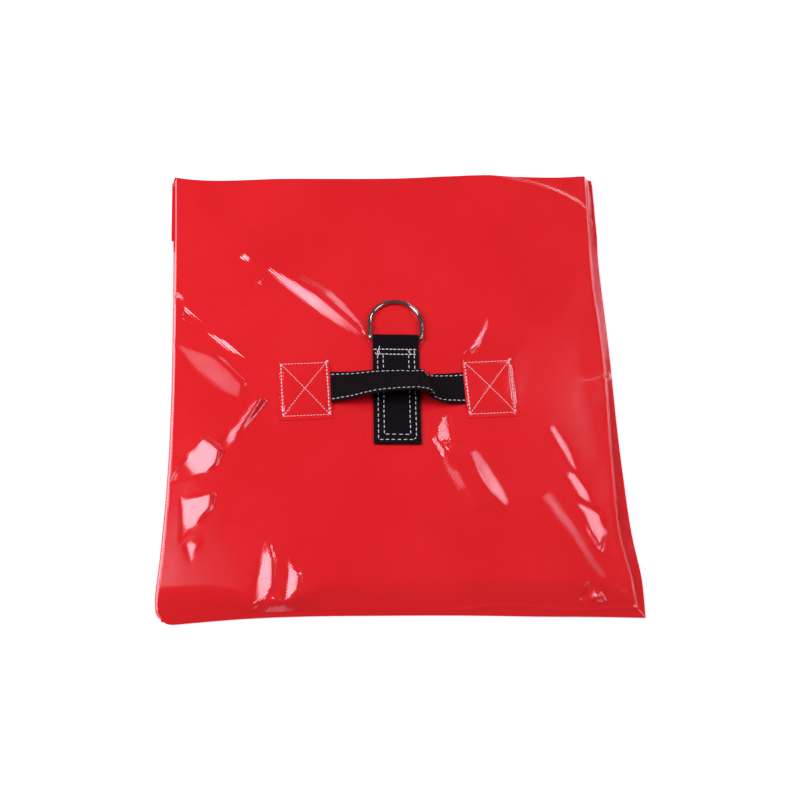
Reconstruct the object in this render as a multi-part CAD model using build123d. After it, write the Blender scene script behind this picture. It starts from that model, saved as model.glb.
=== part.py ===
from build123d import *
from math import atan2, asin, cos, degrees, hypot, radians, sin, tan
import os

# A fire blanket in its carrying pouch, lying on its back.
# Millimetres. X runs across the pouch, +Y points at the mouth, +Z is up and out of the front.
# The origin is under the middle of the pouch, on the surface that it lies on.

# ---- the pouch --------------------------------------------------------------
POUCH_W = 490.0           # across, weld edge to weld edge
POUCH_H = 535.0           # closed end to the outside of the folded mouth
POUCH_T = 15.0            # front face above the surface it lies on
SHEET = 0.7               # coated fabric
WELD_W = 4.0              # flat welded margin round three sides
EDGE_R = 11.5             # the front panel's round shoulder
CORNER_LEFT_R = 15.0      # outline corner, lower left
CORNER_RIGHT_R = 3.0      # outline corner, lower right
BULGE_CORNER_R = 16.0     # plan corner of the raised middle

# ---- the closing flap, folded to the back ------------------------------------
FLAP_DEPTH = 76.0
FLAP_PROUD = 1.6          # the flap is this much wider than the pouch on each side
CREASE_GAP = 0.3          # air between a crease's round edge and the sheet beside it
CLOSURE_T = 0.75          # hook strip and loop strip
CLOSURE_W = 25.0
CLOSURE_L = POUCH_W - 60.0
CLOSURE_GAP = 0.1
CLOSURE_INSET = 8.0       # flap edge to hook strip
RAMP_CLEAR = 8.0          # flap edge to the start of the back panel's ramp
RAMP_L = 15.0

# ---- the folded blanket ------------------------------------------------------
BLANKET_W = POUCH_W - 40.0
BLANKET_L = 360.0
BLANKET_T = 9.0
BLANKET_END_GAP = 17.0    # closed end of the pouch to the blanket
BLANKET_LIFT = 0.3        # air over the raised stretch of the back panel
BLANKET_FOLD_R = 3.5
BLANKET_CORNER_R = 8.0
TAPE_W = 38.0
TAPE_L = 110.0
TAPE_T = 1.2
TAPE_X = 120.0            # centre of each pull tape
TAPE_INSET = 5.0          # behind the blanket's leading edge
TAPE_STITCH_L = 30.0
TAPE_STITCH_IN = 4.0

# ---- the ring strap ----------------------------------------------------------
STRAP_W = 50.0
STRAP_T = 1.4
STRAP_X = 3.0             # middle of the strap
STRAP_TURN = -1.3         # degrees, sewn on slightly askew
STRAP_END_Y = -79.8
STRAP_TURN_Y = -15.0      # the point that the strap is turned about
STITCH_OUT = 5.0          # strap edge to the outer stitch frame
STITCH_STEP = 6.1         # outer frame to inner frame
STITCH_TOP_GAP = 2.0      # the layers part this far above the top stitch row
CROSS_LINE_W = 1.5

# ---- the ring ----------------------------------------------------------------
RING_WIRE = 4.5
RING_INNER_W = STRAP_W + 2.0
RING_BAR_Y = 48.8
RING_LEG = 19.2           # bar centre to arc centre
RING_CORNER_R = 3.0       # centreline
LOOP_CLEAR = 0.3          # webbing loop to wire
RING_TIP_GAP = 0.25       # resting ring tip to front panel
LAYERS_PART = 11.7        # bar centre back to where the strap's layers meet

# ---- the grip handle and its patches -----------------------------------------
HANDLE_X = 4.4            # middle of the handle
HANDLE_Y = -11.8
HANDLE_W = 38.0
HANDLE_T = 1.6
HANDLE_GAP = 0.3          # air under the handle and at its two ends
HANDLE_STITCH_IN = 3.5
HANDLE_RISE_START = 10.0  # flat stretch at the left patch
HANDLE_LEFT_H = 9.5       # heights of the underside over the panel
HANDLE_MID_H = 12.5
HANDLE_RIGHT_H = 11.0
HANDLE_LEFT_X = -24.0     # where it has those heights
HANDLE_MID_X = 12.0
HANDLE_RIGHT_X = 30.0
HANDLE_DROP_X = 37.0      # foot of the steep drop
HANDLE_BENDS = (36.0, 60.0, 45.0, 4.0, 5.0)
PATCH_W = 55.5
PATCH_H = 73.4
PATCH_X = 99.4            # handle middle to patch middle
PATCH_RAMP = 4.0
PATCH_END_COVER = 5.5     # patch beyond the webbing's sewn end
PATCH_STITCH_IN_X = 3.2
PATCH_STITCH_IN_Y = 5.0

# ---- sewing thread -----------------------------------------------------------
THREAD_W = 0.8
THREAD_H = 0.4
SUNK_THREAD_H = 0.3       # pressed into a strip's pile
SUNK_THREAD_IN = 2.0

# ---- worked out from the values above ----------------------------------------
HALF_W = POUCH_W / 2
BOTTOM_Y = -POUCH_H / 2
MOUTH_Y = POUCH_H / 2
CREASE_Y = MOUTH_Y - SHEET / 2
FRONT_CREASE_Z = POUCH_T - SHEET / 2
BACK_CREASE_Z = SHEET / 2
PANEL_END_Y = CREASE_Y - SHEET / 2 - CREASE_GAP
RAISE = SHEET + 2 * CLOSURE_T + CLOSURE_GAP
FLAP_END_Y = PANEL_END_Y - FLAP_DEPTH
RAMP_TOP_Y = FLAP_END_Y - RAMP_CLEAR
RAMP_FOOT_Y = RAMP_TOP_Y - RAMP_L
CLOSURE_Y = FLAP_END_Y + CLOSURE_INSET + CLOSURE_W / 2
BLANKET_Z = RAISE + SHEET + BLANKET_LIFT
BLANKET_Y = BOTTOM_Y + BLANKET_END_GAP + BLANKET_L / 2
LEAD_Y = BLANKET_Y + BLANKET_L / 2
RING_R = RING_WIRE / 2
BAR_Z = POUCH_T + STRAP_T + LOOP_CLEAR + RING_R
RING_HALF = RING_INNER_W / 2 + RING_R
RING_TIP = RING_LEG + RING_HALF
RING_REST = -degrees(asin((BAR_Z - POUCH_T - RING_TIP_GAP - RING_R) / RING_TIP))
LAYERS_MEET_Y = RING_BAR_Y - LAYERS_PART
STITCH_TOP_Y = LAYERS_MEET_Y - STITCH_TOP_GAP
STITCH_BOTTOM_Y = STRAP_END_Y + STITCH_OUT
STRAP_TOP_Z = POUCH_T + 2 * STRAP_T
PATCH_EDGE = PATCH_X - PATCH_W / 2


# ---- helpers -----------------------------------------------------------------
def prism_yz(points, width, middle=0.0):
    """A closed outline of (y, z) points, extruded to a width across X."""
    face = make_face(Polyline(*points, close=True))
    return Pos(middle, 0, 0) * extrude(Plane.YZ * face, amount=width / 2, both=True)


def prism_xz(points, depth, middle=0.0):
    """A closed outline of (x, z) points, extruded to a depth along Y."""
    face = make_face(Polyline(*points, close=True))
    return Pos(0, middle, 0) * extrude(Plane.XZ * face, amount=depth / 2, both=True)


def block(x0, x1, y0, y1, z0, z1):
    """A box between two corners."""
    middle = Pos((x0 + x1) / 2, (y0 + y1) / 2, (z0 + z1) / 2)
    return middle * Box(x1 - x0, y1 - y0, z1 - z0)


def back_band(low, high):
    """The solid between two offsets of the back panel's stepped underside."""
    points = [
        (BOTTOM_Y, low), (RAMP_FOOT_Y, low), (RAMP_TOP_Y, RAISE + low), (PANEL_END_Y, RAISE + low),
        (PANEL_END_Y, RAISE + high), (RAMP_TOP_Y, RAISE + high), (RAMP_FOOT_Y, high), (BOTTOM_Y, high),
    ]
    return prism_yz(points, POUCH_W)


def outline_prism(height):
    """The pouch's outline, with its two bottom corners rounded, as a tall solid."""
    body = block(-HALF_W, HALF_W, BOTTOM_Y, PANEL_END_Y, -height, height)
    corners = body.edges().filter_by(Axis.Z).group_by(Axis.Y)[0].sort_by(Axis.X)
    body = fillet(corners[1], CORNER_RIGHT_R)
    corners = body.edges().filter_by(Axis.Z).group_by(Axis.Y)[0].sort_by(Axis.X)
    return fillet(corners[0], CORNER_LEFT_R)


def bulge(inset, top, end_y):
    """The raised middle of the pouch: round shoulders on three sides, open at the mouth."""
    margin = WELD_W + inset
    body = block(-HALF_W + margin, HALF_W - margin, BOTTOM_Y + margin, end_y, 0, top)
    corners = body.edges().filter_by(Axis.Z).group_by(Axis.Y)[0]
    body = fillet(corners, BULGE_CORNER_R - inset)
    rim = [edge for edge in body.edges().group_by(Axis.Z)[-1] if edge.center().Y < end_y - 1]
    return fillet(rim, EDGE_R - inset)


def frame_lines(x0, x1, y0, y1, line, z0, z1):
    """A rectangular line of stitching, as a frame between two heights."""
    half = line / 2
    outer = block(x0 - half, x1 + half, y0 - half, y1 + half, z0, z1)
    return outer - block(x0 + half, x1 - half, y0 + half, y1 - half, z0 - 1, z1 + 1)


def thick_run(points, bends, height):
    """The face over straight runs joined by tangent arcs, up to a height square to them."""
    run = FilletPolyline(*points, radius=list(bends))
    return make_face(offset(run, amount=height, side=Side.LEFT, closed=True))


def turned_strap(shape):
    """Put a piece of the strap, modelled square to the pouch, where it is sewn on."""
    return Pos(STRAP_X, STRAP_TURN_Y, 0) * Rot(0, 0, STRAP_TURN) * Pos(0, -STRAP_TURN_Y, 0) * shape


# ---- the pouch ---------------------------------------------------------------
def back_panel():
    """Flat sheet, stepped up near the mouth to leave room for the folded flap."""
    return back_band(0, SHEET) & outline_prism(POUCH_T)


def front_panel():
    """Raised sheet with round shoulders and a flat margin welded to the back panel."""
    shell = bulge(0, POUCH_T, PANEL_END_Y) - bulge(SHEET, POUCH_T - SHEET, PANEL_END_Y + SHEET)
    margin = back_band(SHEET, 2 * SHEET) & outline_prism(POUCH_T)
    margin -= bulge(SHEET, POUCH_T - SHEET, PANEL_END_Y + SHEET)
    floor = back_band(-POUCH_T, SHEET)
    return (shell + margin) - floor


def closure_strip(z0, groove_up):
    """Hook or loop strip, with the groove that its stitching has pulled into the pile."""
    half = CLOSURE_L / 2
    y0 = CLOSURE_Y - CLOSURE_W / 2
    strip = block(-half, half, y0, y0 + CLOSURE_W, z0, z0 + CLOSURE_T)
    return strip - closure_thread(z0, groove_up)


def closure_thread(z0, face_up):
    """The sunk stitch frame of a hook or loop strip."""
    half = CLOSURE_L / 2 - SUNK_THREAD_IN
    y_half = CLOSURE_W / 2 - SUNK_THREAD_IN
    low = z0 + CLOSURE_T - SUNK_THREAD_H if face_up else z0
    return frame_lines(-half, half, CLOSURE_Y - y_half, CLOSURE_Y + y_half, THREAD_W, low,
                       low + SUNK_THREAD_H)


def flap_lip():
    """The strip of sheet that closes the mouth, with both crease edges rounded."""
    width = POUCH_W + 2 * FLAP_PROUD
    height = FRONT_CREASE_Z - BACK_CREASE_Z
    middle = (FRONT_CREASE_Z + BACK_CREASE_Z) / 2
    section = Plane.YZ * Pos(CREASE_Y, middle) * Rot(0, 0, 90) * SlotCenterToCenter(height, SHEET)
    return extrude(section, amount=width / 2, both=True)


def closing_flap():
    """The flap itself, folded flat under the back panel."""
    half = HALF_W + FLAP_PROUD
    flap = block(-half, half, FLAP_END_Y, PANEL_END_Y, 0, SHEET)
    corners = flap.edges().filter_by(Axis.Z).group_by(Axis.Y)[0]
    return fillet(corners, CLOSURE_INSET)


# ---- the ring strap ----------------------------------------------------------
def ring_strap():
    """Webbing folded in two round the ring's bar."""
    inner = RING_R + LOOP_CLEAR
    outer = inner + STRAP_T
    rise = 2 * atan2(inner, LAYERS_PART)
    side_y, side_z = -sin(rise), cos(rise)
    ease = STRAP_T * tan(rise / 2)
    low = [
        (STRAP_END_Y, POUCH_T), (RING_BAR_Y, POUCH_T), (RING_BAR_Y, BAR_Z),
        (RING_BAR_Y + outer * side_y, BAR_Z + outer * side_z),
        (LAYERS_MEET_Y - ease, STRAP_TOP_Z), (STRAP_END_Y, STRAP_TOP_Z),
    ]
    void = [
        (LAYERS_MEET_Y, POUCH_T + STRAP_T), (RING_BAR_Y, POUCH_T + STRAP_T), (RING_BAR_Y, BAR_Z),
        (RING_BAR_Y + inner * side_y, BAR_Z + inner * side_z),
    ]
    bar = Plane.YZ * Pos(RING_BAR_Y, BAR_Z)
    loop = extrude(bar * Circle(outer), amount=STRAP_W / 2, both=True)
    eye = extrude(bar * Circle(inner), amount=STRAP_W, both=True)
    strap = prism_yz(low, STRAP_W) + loop
    return turned_strap(strap - eye - prism_yz(void, 2 * STRAP_W))


def strap_frame(step):
    """One line of stitching down the strap, across its end and back up, some steps in from the edge."""
    inset = step * STITCH_STEP
    half = STRAP_W / 2 - STITCH_OUT - inset
    y0, y1 = STITCH_BOTTOM_Y + inset, STITCH_TOP_Y - STITCH_STEP - CROSS_LINE_W / 2
    frame = frame_lines(-half, half, y0, STITCH_TOP_Y, THREAD_W, STRAP_TOP_Z, STRAP_TOP_Z + THREAD_H)
    return frame - block(-STRAP_W, STRAP_W, y1, RING_BAR_Y, 0, 2 * POUCH_T)


def strap_cross_rows():
    """The two heavy rows that close the loop under the ring."""
    half = STRAP_W / 2 - STITCH_OUT + THREAD_W / 2
    rows = []
    for step in range(2):
        y1 = STITCH_TOP_Y - step * STITCH_STEP
        rows.append(block(-half, half, y1 - CROSS_LINE_W / 2, y1 + CROSS_LINE_W / 2,
                          STRAP_TOP_Z, STRAP_TOP_Z + THREAD_H))
    return turned_strap(Compound(rows))


def d_ring():
    """Welded wire D-ring, its straight bar in the strap's loop and its tip on the pouch."""
    bar_end = RING_HALF - RING_CORNER_R
    bend = RING_CORNER_R * sin(radians(45))
    right_bend = (bar_end + bend, RING_CORNER_R - bend)
    wire = Wire([
        Edge.make_line((-bar_end, 0), (bar_end, 0)),
        Edge.make_three_point_arc((bar_end, 0), right_bend, (RING_HALF, RING_CORNER_R)),
        Edge.make_line((RING_HALF, RING_CORNER_R), (RING_HALF, RING_LEG)),
        Edge.make_three_point_arc((RING_HALF, RING_LEG), (0, RING_TIP), (-RING_HALF, RING_LEG)),
        Edge.make_line((-RING_HALF, RING_LEG), (-RING_HALF, RING_CORNER_R)),
        Edge.make_three_point_arc((-RING_HALF, RING_CORNER_R), (-right_bend[0], right_bend[1]),
                                  (-bar_end, 0)),
    ])
    ring = sweep(Plane((-bar_end, 0, 0), z_dir=(1, 0, 0)) * Circle(RING_R), path=wire)
    return turned_strap(Pos(0, RING_BAR_Y, BAR_Z) * Rot(RING_REST, 0, 0) * ring)


# ---- the grip handle and its patches -----------------------------------------
def handle_section(height):
    """The handle from the side: low at the left, high over the strap, a steep drop at the right."""
    end = PATCH_EDGE - HANDLE_GAP
    base = POUCH_T + HANDLE_GAP
    points = [
        (-end, base), (-end + HANDLE_RISE_START, base),
        (HANDLE_LEFT_X, POUCH_T + HANDLE_LEFT_H), (HANDLE_MID_X, POUCH_T + HANDLE_MID_H),
        (HANDLE_RIGHT_X, POUCH_T + HANDLE_RIGHT_H), (HANDLE_DROP_X, base), (end, base),
    ]
    return thick_run(points, HANDLE_BENDS, height)


def handle_webbing():
    """The part of the handle that lifts, between the two patches."""
    section = Plane.XZ * handle_section(HANDLE_T)
    return Pos(HANDLE_X, HANDLE_Y, 0) * extrude(section, amount=HANDLE_W / 2, both=True)


def handle_thread(side):
    """One row of stitching along an edge of the handle."""
    row = HANDLE_Y + side * (HANDLE_W / 2 - HANDLE_STITCH_IN)
    section = Plane.XZ * (handle_section(HANDLE_T + THREAD_H) - handle_section(HANDLE_T))
    return Pos(HANDLE_X, row, 0) * extrude(section, amount=THREAD_W / 2, both=True)


def patch_space(side, lift, base):
    """Solid under a patch's face: low at its rim, raised over the end of the webbing."""
    inner = PATCH_X - PATCH_W / 2
    outer = PATCH_X + PATCH_W / 2
    cover = outer - PATCH_END_COVER
    high = lift + HANDLE_T
    along = [(inner, 0), (outer, 0), (outer, lift), (cover + PATCH_RAMP, lift), (cover, high), (inner, high)]
    half, web = PATCH_H / 2, HANDLE_W / 2
    across = [
        (-half, 0), (half, 0), (half, lift), (web + PATCH_RAMP, lift), (web, high), (-web, high),
        (-web - PATCH_RAMP, lift), (-half, lift),
    ]
    along = [(side * x, z + base) for x, z in along]
    across = [(y, z + base) for y, z in across]
    solid = prism_xz(along, PATCH_H) & prism_yz(across, PATCH_W, side * PATCH_X)
    return Pos(HANDLE_X, HANDLE_Y, 0) * solid


def patch(side):
    """A reinforcing patch of the pouch's own sheet, draped over the end of the handle."""
    low = POUCH_T - SHEET
    hollow = patch_space(side, SHEET, low)
    return patch_space(side, SHEET, POUCH_T) - hollow


def handle_end(side):
    """The end of the handle webbing, sewn down under its patch."""
    inner, outer = PATCH_EDGE, PATCH_X + PATCH_W / 2 - PATCH_END_COVER
    x0, x1 = sorted((side * inner, side * outer))
    end = block(x0, x1, -HANDLE_W / 2, HANDLE_W / 2, POUCH_T, POUCH_T + HANDLE_T)
    return Pos(HANDLE_X, HANDLE_Y, 0) * end


def patch_thread(side):
    """The box and cross that sew a patch down."""
    half_x, half_y = PATCH_W / 2 - PATCH_STITCH_IN_X, PATCH_H / 2 - PATCH_STITCH_IN_Y
    top = POUCH_T + SHEET + HANDLE_T + THREAD_H
    rows = frame_lines(-half_x, half_x, -half_y, half_y, THREAD_W, POUCH_T, top)
    slope = degrees(atan2(half_y, half_x))
    middle = (POUCH_T + top) / 2
    for turn in (slope, -slope):
        rows += Pos(0, 0, middle) * Rot(0, 0, turn) * Box(2 * hypot(half_x, half_y), THREAD_W,
                                                          top - POUCH_T)
    rows = Pos(HANDLE_X + side * PATCH_X, HANDLE_Y, 0) * rows
    skin = patch_space(side, SHEET, POUCH_T + THREAD_H) - patch_space(side, SHEET, POUCH_T)
    return rows & skin


# ---- the blanket -------------------------------------------------------------
def blanket():
    """Glass-fibre cloth, folded to a flat pack."""
    pack = Pos(0, BLANKET_Y, BLANKET_Z + BLANKET_T / 2) * Box(BLANKET_W, BLANKET_L, BLANKET_T)
    pack = fillet(pack.edges().filter_by(Axis.Z), BLANKET_CORNER_R)
    rims = pack.edges().group_by(Axis.Z)
    return fillet(rims[0] + rims[-1], BLANKET_FOLD_R)


def pull_tape(side):
    """A pull tape, sewn to the blanket and folded back on top of it."""
    y1 = LEAD_Y - TAPE_INSET
    z0 = BLANKET_Z + BLANKET_T
    middle = side * TAPE_X
    return block(middle - TAPE_W / 2, middle + TAPE_W / 2, y1 - TAPE_L, y1, z0, z0 + TAPE_T)


def tape_thread(side):
    """The stitch frame that holds a pull tape."""
    half = TAPE_W / 2 - TAPE_STITCH_IN
    y1 = LEAD_Y - TAPE_INSET - TAPE_STITCH_IN
    z0 = BLANKET_Z + BLANKET_T + TAPE_T
    middle = side * TAPE_X
    return frame_lines(middle - half, middle + half, y1 - TAPE_STITCH_L, y1, THREAD_W,
                       z0, z0 + SUNK_THREAD_H)


# ---- the assembly ------------------------------------------------------------
HOOK_Z = SHEET
LOOP_Z = RAISE - CLOSURE_T

NODES = {
    "front_panel": front_panel(),
    "back_panel": back_panel(),
    "loop_strip": closure_strip(LOOP_Z, groove_up=False),
    "loop_strip_thread": closure_thread(LOOP_Z, face_up=False),
    "ring_strap": ring_strap(),
    "strap_thread_outer": turned_strap(strap_frame(0)),
    "strap_thread_inner": turned_strap(strap_frame(1)),
    "strap_cross_thread": strap_cross_rows(),
    "d_ring": d_ring(),
    "handle_webbing": handle_webbing(),
    "handle_thread_upper": handle_thread(1),
    "handle_thread_lower": handle_thread(-1),
    "flap_lip": flap_lip(),
    "closing_flap": closing_flap(),
    "hook_strip": closure_strip(HOOK_Z, groove_up=True),
    "hook_strip_thread": closure_thread(HOOK_Z, face_up=True),
    "blanket": blanket(),
}
for word, side in (("left", -1), ("right", 1)):
    NODES["handle_end_" + word] = handle_end(side)
    NODES["patch_" + word] = patch(side)
    NODES["patch_thread_" + word] = patch_thread(side)
    NODES["pull_tape_" + word] = pull_tape(side)
    NODES["tape_thread_" + word] = tape_thread(side)

os.makedirs("parts", exist_ok=True)
for node, shape in NODES.items():
    export_step(shape, "parts/" + node + ".step")
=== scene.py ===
from math import ceil, cos, pi, radians, sin

import bpy
import numpy as np
from mathutils import Matrix, Vector


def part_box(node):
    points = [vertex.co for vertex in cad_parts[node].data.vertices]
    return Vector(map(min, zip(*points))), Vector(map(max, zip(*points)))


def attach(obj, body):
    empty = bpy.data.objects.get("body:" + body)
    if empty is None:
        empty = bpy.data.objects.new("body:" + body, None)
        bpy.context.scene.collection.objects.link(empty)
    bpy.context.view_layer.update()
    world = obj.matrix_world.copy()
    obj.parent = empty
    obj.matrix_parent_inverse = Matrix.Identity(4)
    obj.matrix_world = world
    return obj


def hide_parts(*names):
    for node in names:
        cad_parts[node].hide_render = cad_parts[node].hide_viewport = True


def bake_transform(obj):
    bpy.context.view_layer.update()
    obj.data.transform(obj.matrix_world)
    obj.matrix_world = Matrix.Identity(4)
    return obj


# A fire blanket in its carrying pouch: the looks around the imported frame.
# Lengths are in millimetres until an object is made. X runs across, +Y points at the mouth, +Z is up.

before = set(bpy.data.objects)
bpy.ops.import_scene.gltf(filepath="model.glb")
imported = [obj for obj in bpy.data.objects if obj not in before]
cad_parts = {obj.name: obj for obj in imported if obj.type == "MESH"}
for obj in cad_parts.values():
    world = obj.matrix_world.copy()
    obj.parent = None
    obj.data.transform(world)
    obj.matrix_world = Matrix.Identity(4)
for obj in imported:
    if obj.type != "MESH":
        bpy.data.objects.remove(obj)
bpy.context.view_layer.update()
MM = 0.001
rng = np.random.default_rng(7)


def span(node):
    """Lowest and highest corner of a CAD node."""
    low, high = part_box(node)
    return np.array(low) / MM, np.array(high) / MM


# ---- sizes taken from the frame ----
FRONT_LOW, FRONT_HIGH = span("front_panel")
FLAP_LOW, FLAP_HIGH = span("closing_flap")
BLANKET_LOW, BLANKET_HIGH = span("blanket")
FACE_Z = FRONT_HIGH[2]
BOTTOM_Y = FRONT_LOW[1]
MOUTH_Y = span("flap_lip")[1][1]
HALF_W = FRONT_HIGH[0]
SHEET = FLAP_HIGH[2] - FLAP_LOW[2]
FLAP_END_Y = FLAP_LOW[1]
POUCH_W = 2 * HALF_W
POUCH_L = MOUTH_Y - BOTTOM_Y

# ---- camera and lights ----
CAMERA_AT = np.array((-98.2, -791.6, 1419.8))
CAMERA_TILT = 0.5028        # radians
CAMERA_YAW = -0.1356
CAMERA_ROLL = 0.1071
LENS = 67.5
SENSOR = 36.0
VIEW_END = 20.0             # metres
LAMP_TINT = (1.0, 0.88, 1.04)
LEFT_LAMP = np.array((-700.0, 340.0, 1450.0))
RIGHT_LAMP = np.array((920.0, 900.0, 1450.0))
SOFTBOXES = (               # name, place, width and length, watts
    ("left_softbox", LEFT_LAMP, (260, 360), 4.2),
    ("right_softbox", RIGHT_LAMP, (200, 300), 3.0),
    ("side_strip", (1500, 900, 700), (60, 1800), 2.2),
    ("back_softbox", (700, 1600, 800), (500, 300), 2.2),
    ("left_fill", (-1400, 0, 1250), (1000, 1000), 20.0),
    ("right_fill", (1300, -250, 1300), (900, 900), 9.0))
AMBIENT = 0.12
FLOOR_REACH = 4.0           # metres from the middle to each side
FLOOR_Z = -0.0006           # just under the pouch, in metres
FLOOR_GLOW = 0.5

# ---- outline of the filled pouch, as it lies ----
LEFT_EDGE = ((-272, -244), (-243, -247), (-199, -244), (-128, -240), (118, -240), (201, -242), (268, -244))
RIGHT_EDGE = ((-272, 245), (-225, 246), (-184, 242), (-102, 240), (62, 242), (139, 242), (232, 245),
              (268, 246))
BOTTOM_EDGE = ((-247, -270), (-156, -264), (-3, -264), (80, -266), (131, -268), (198, -270), (245, -272))
# how far past the mouth the top edge lies
TOP_EDGE = ((-247, 4), (-232, 1), (-115, 0), (19, 1), (77, 4), (107, 5), (155, 3), (220, 3), (247, 6))
LEFT_CORNER_R = 15.0
CORNER_CUT = 0.293          # share of its radius that a round corner cuts off along x and along y
CORNER_SPREAD = 0.55        # how far that is felt, as a share of the radius
RIM_Z = 2 * SHEET
# each edge has a flat margin, then a round shoulder: their widths, and the height where they meet
LEFT_MARGIN, LEFT_MARGIN_Z, LEFT_ROUND = 1.5, 3.0, 3.5
RIGHT_MARGIN_Z, RIGHT_MARGIN_LIFT, RIGHT_ROUND = 5.5, 4.0, 4.5      # it is lifted beside the mouth
RIGHT_LIFT_FROM, RIGHT_LIFT_OVER = 215.0, 40.0
RIGHT_BEFORE_LINE = 3.0     # the right margin ends this far short of its line
BOTTOM_MARGIN, BOTTOM_MARGIN_Z = 4.0, 3.5
# how far in from the outline the right edge's weld runs, and how far in the closed end has its full height
RIGHT_LINE = ((-272, 11), (-240, 13), (-200, 16), (-120, 14), (5, 10), (120, 12), (200, 11), (268, 10))
BOTTOM_SHOULDER = ((-247, 40), (-175, 34), (-140, 17), (-110, 17), (-75, 36), (0, 44), (60, 44), (247, 38))
# how far in from the outline the closed end's weld runs
BOTTOM_LINE = ((-247, 5), (20, 4), (60, 5), (85, 8), (130, 8), (170, 5), (220, 8), (247, 8))
BEAD = 0.8                  # height of the ridge that a weld leaves
BEAD_W = 1.7
# how far a hollow may sink over the tapes, over the blanket and elsewhere
TAPE_DIP, BLANKET_DIP, OPEN_DIP = 0.3, 1.2, 3.0
ROOM_MARGIN, ROOM_FADE = 2.0, 12.0      # beside the blanket and the tapes
SWELL_SHARE = 0.5
CREASE_LINE = ((100, 277), (147, 266), (190, 252), (222, 232), (238, 212))
CREASE_FALL = 0.07          # slope of the corner outside the crease
CREASE_H, CREASE_W = 1.3, 2.6
FACET_LEVEL = 0.6           # where a facet lies, between the lowest and the highest it could
FOLD_FALL = 2.6             # length of a fold's far side, in its own half widths

# ---- cloth, webbing and thread ----
RIB_PITCH = 2.3
SCRIM_PITCH = 3.5
ROW_STEP = 0.8              # between the points of a path that stitches follow
STRAP_STITCH = {"pitch": 6.3, "dash": 4.6, "wide": 0.9, "high": 0.5}
CROSS_STITCH = {"pitch": 4.4, "dash": 4.2, "wide": 1.15, "high": 0.6}
HANDLE_STITCH = {"pitch": 5.3, "dash": 3.7, "wide": 0.9, "high": 0.5}
PATCH_SIDE_STITCH = {"pitch": 4.2, "dash": 3.6, "wide": 1.15, "high": 0.6}
PATCH_LINE_STITCH = {"pitch": 3.4, "dash": 3.0, "wide": 0.65, "high": 0.4}
TAPE_STITCH = {"pitch": 4.0, "dash": 3.1, "wide": 0.8, "high": 0.4}
UP = (0, 0, 1)


# ---- small mathematics ----
def through(x, knots):
    """A smooth curve through (x, value) knots."""
    xs, ys = np.array(knots, float).T
    slopes = np.gradient(ys, xs)
    i = np.clip(np.searchsorted(xs, x) - 1, 0, len(xs) - 2)
    w = xs[i + 1] - xs[i]
    t = np.clip((x - xs[i]) / w, 0, 1)
    rise = ease(t)
    return (ys[i] * (1 - rise) + ys[i + 1] * rise
            + w * t * (1 - t) * (slopes[i] * (1 - t) - slopes[i + 1] * t))


def ease(t):
    """A soft step from 0 to 1."""
    t = np.clip(t, 0, 1)
    return t * t * (3 - 2 * t)


def lower_of(a, b, soft):
    """The lower of two surfaces, with a soft crease between them."""
    return (a + b - np.sqrt((a - b) ** 2 + soft ** 2)) / 2


def higher_of(a, b, soft):
    """The higher of two surfaces, with a soft crease between them."""
    return -lower_of(-a, -b, soft)


def unit(v):
    """Vectors of length 1."""
    return v / np.linalg.norm(v, axis=-1, keepdims=True)


def run(path):
    """Distance along a path to each of its points."""
    return np.concatenate([[0], np.cumsum(np.linalg.norm(np.diff(path, axis=0), axis=1))])


def at_length(at, length, values):
    """A path's values at some distances along it."""
    return np.stack([np.interp(at, length, values[:, i]) for i in range(values.shape[1])], -1)


def spaced(length, fine, band, step):
    """Distances from 0 to length, close together within a band at both ends."""
    edge = np.linspace(0, band, ceil(band / fine) + 1)
    middle = np.linspace(band, length - band, ceil((length - 2 * band) / step) + 1)
    return np.concatenate([edge, middle[1:-1], length - edge[::-1]])


def turned(points, angle, about):
    """Points turned about a vertical line."""
    moved = np.array(points, float)
    x, y = moved[..., 0] - about[0], moved[..., 1] - about[1]
    moved[..., 0] = about[0] + x * cos(angle) - y * sin(angle)
    moved[..., 1] = about[1] + x * sin(angle) + y * cos(angle)
    return moved


def lean_to(lamp, x, y):
    """The slopes dz/dx and dz/dy of a surface at (x, y) that mirrors a lamp to the camera."""
    here = np.stack([x, y, np.full_like(x, FACE_Z)], -1)
    half = unit(CAMERA_AT - here) + unit(lamp - here)
    return -half[..., 0] / half[..., 2], -half[..., 1] / half[..., 2]


# ---- meshes ----
def linked(name, data):
    """An object in the scene."""
    thing = bpy.data.objects.new(name, data)
    bpy.context.scene.collection.objects.link(thing)
    return thing


def make(name, points, faces, material, uv=None, sharp=50):
    """A mesh object from points in millimetres."""
    mesh = bpy.data.meshes.new(name)
    mesh.from_pydata((np.asarray(points) * MM).tolist(), [], [list(f) for f in faces])
    if uv is not None:
        layer = mesh.uv_layers.new(name="UVMap")
        corner = np.zeros(len(mesh.loops), int)
        mesh.loops.foreach_get("vertex_index", corner)
        layer.data.foreach_set("uv", (np.asarray(uv)[corner] * MM).astype(np.float32).ravel())
    mesh.materials.append(material)
    mesh.shade_smooth()
    mesh.set_sharp_from_angle(angle=radians(sharp))
    return linked(name, mesh)


def grid_faces(rows, cols):
    """Four-sided faces between the points of a grid."""
    index = np.arange(rows * cols).reshape(rows, cols)
    return np.stack([index[:-1, :-1], index[:-1, 1:], index[1:, 1:], index[1:, :-1]], -1).reshape(-1, 4)


def grid_normals(grid):
    """The surface's normal at each point of a grid."""
    return unit(np.cross(np.gradient(grid, axis=1), np.gradient(grid, axis=0)))


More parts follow.
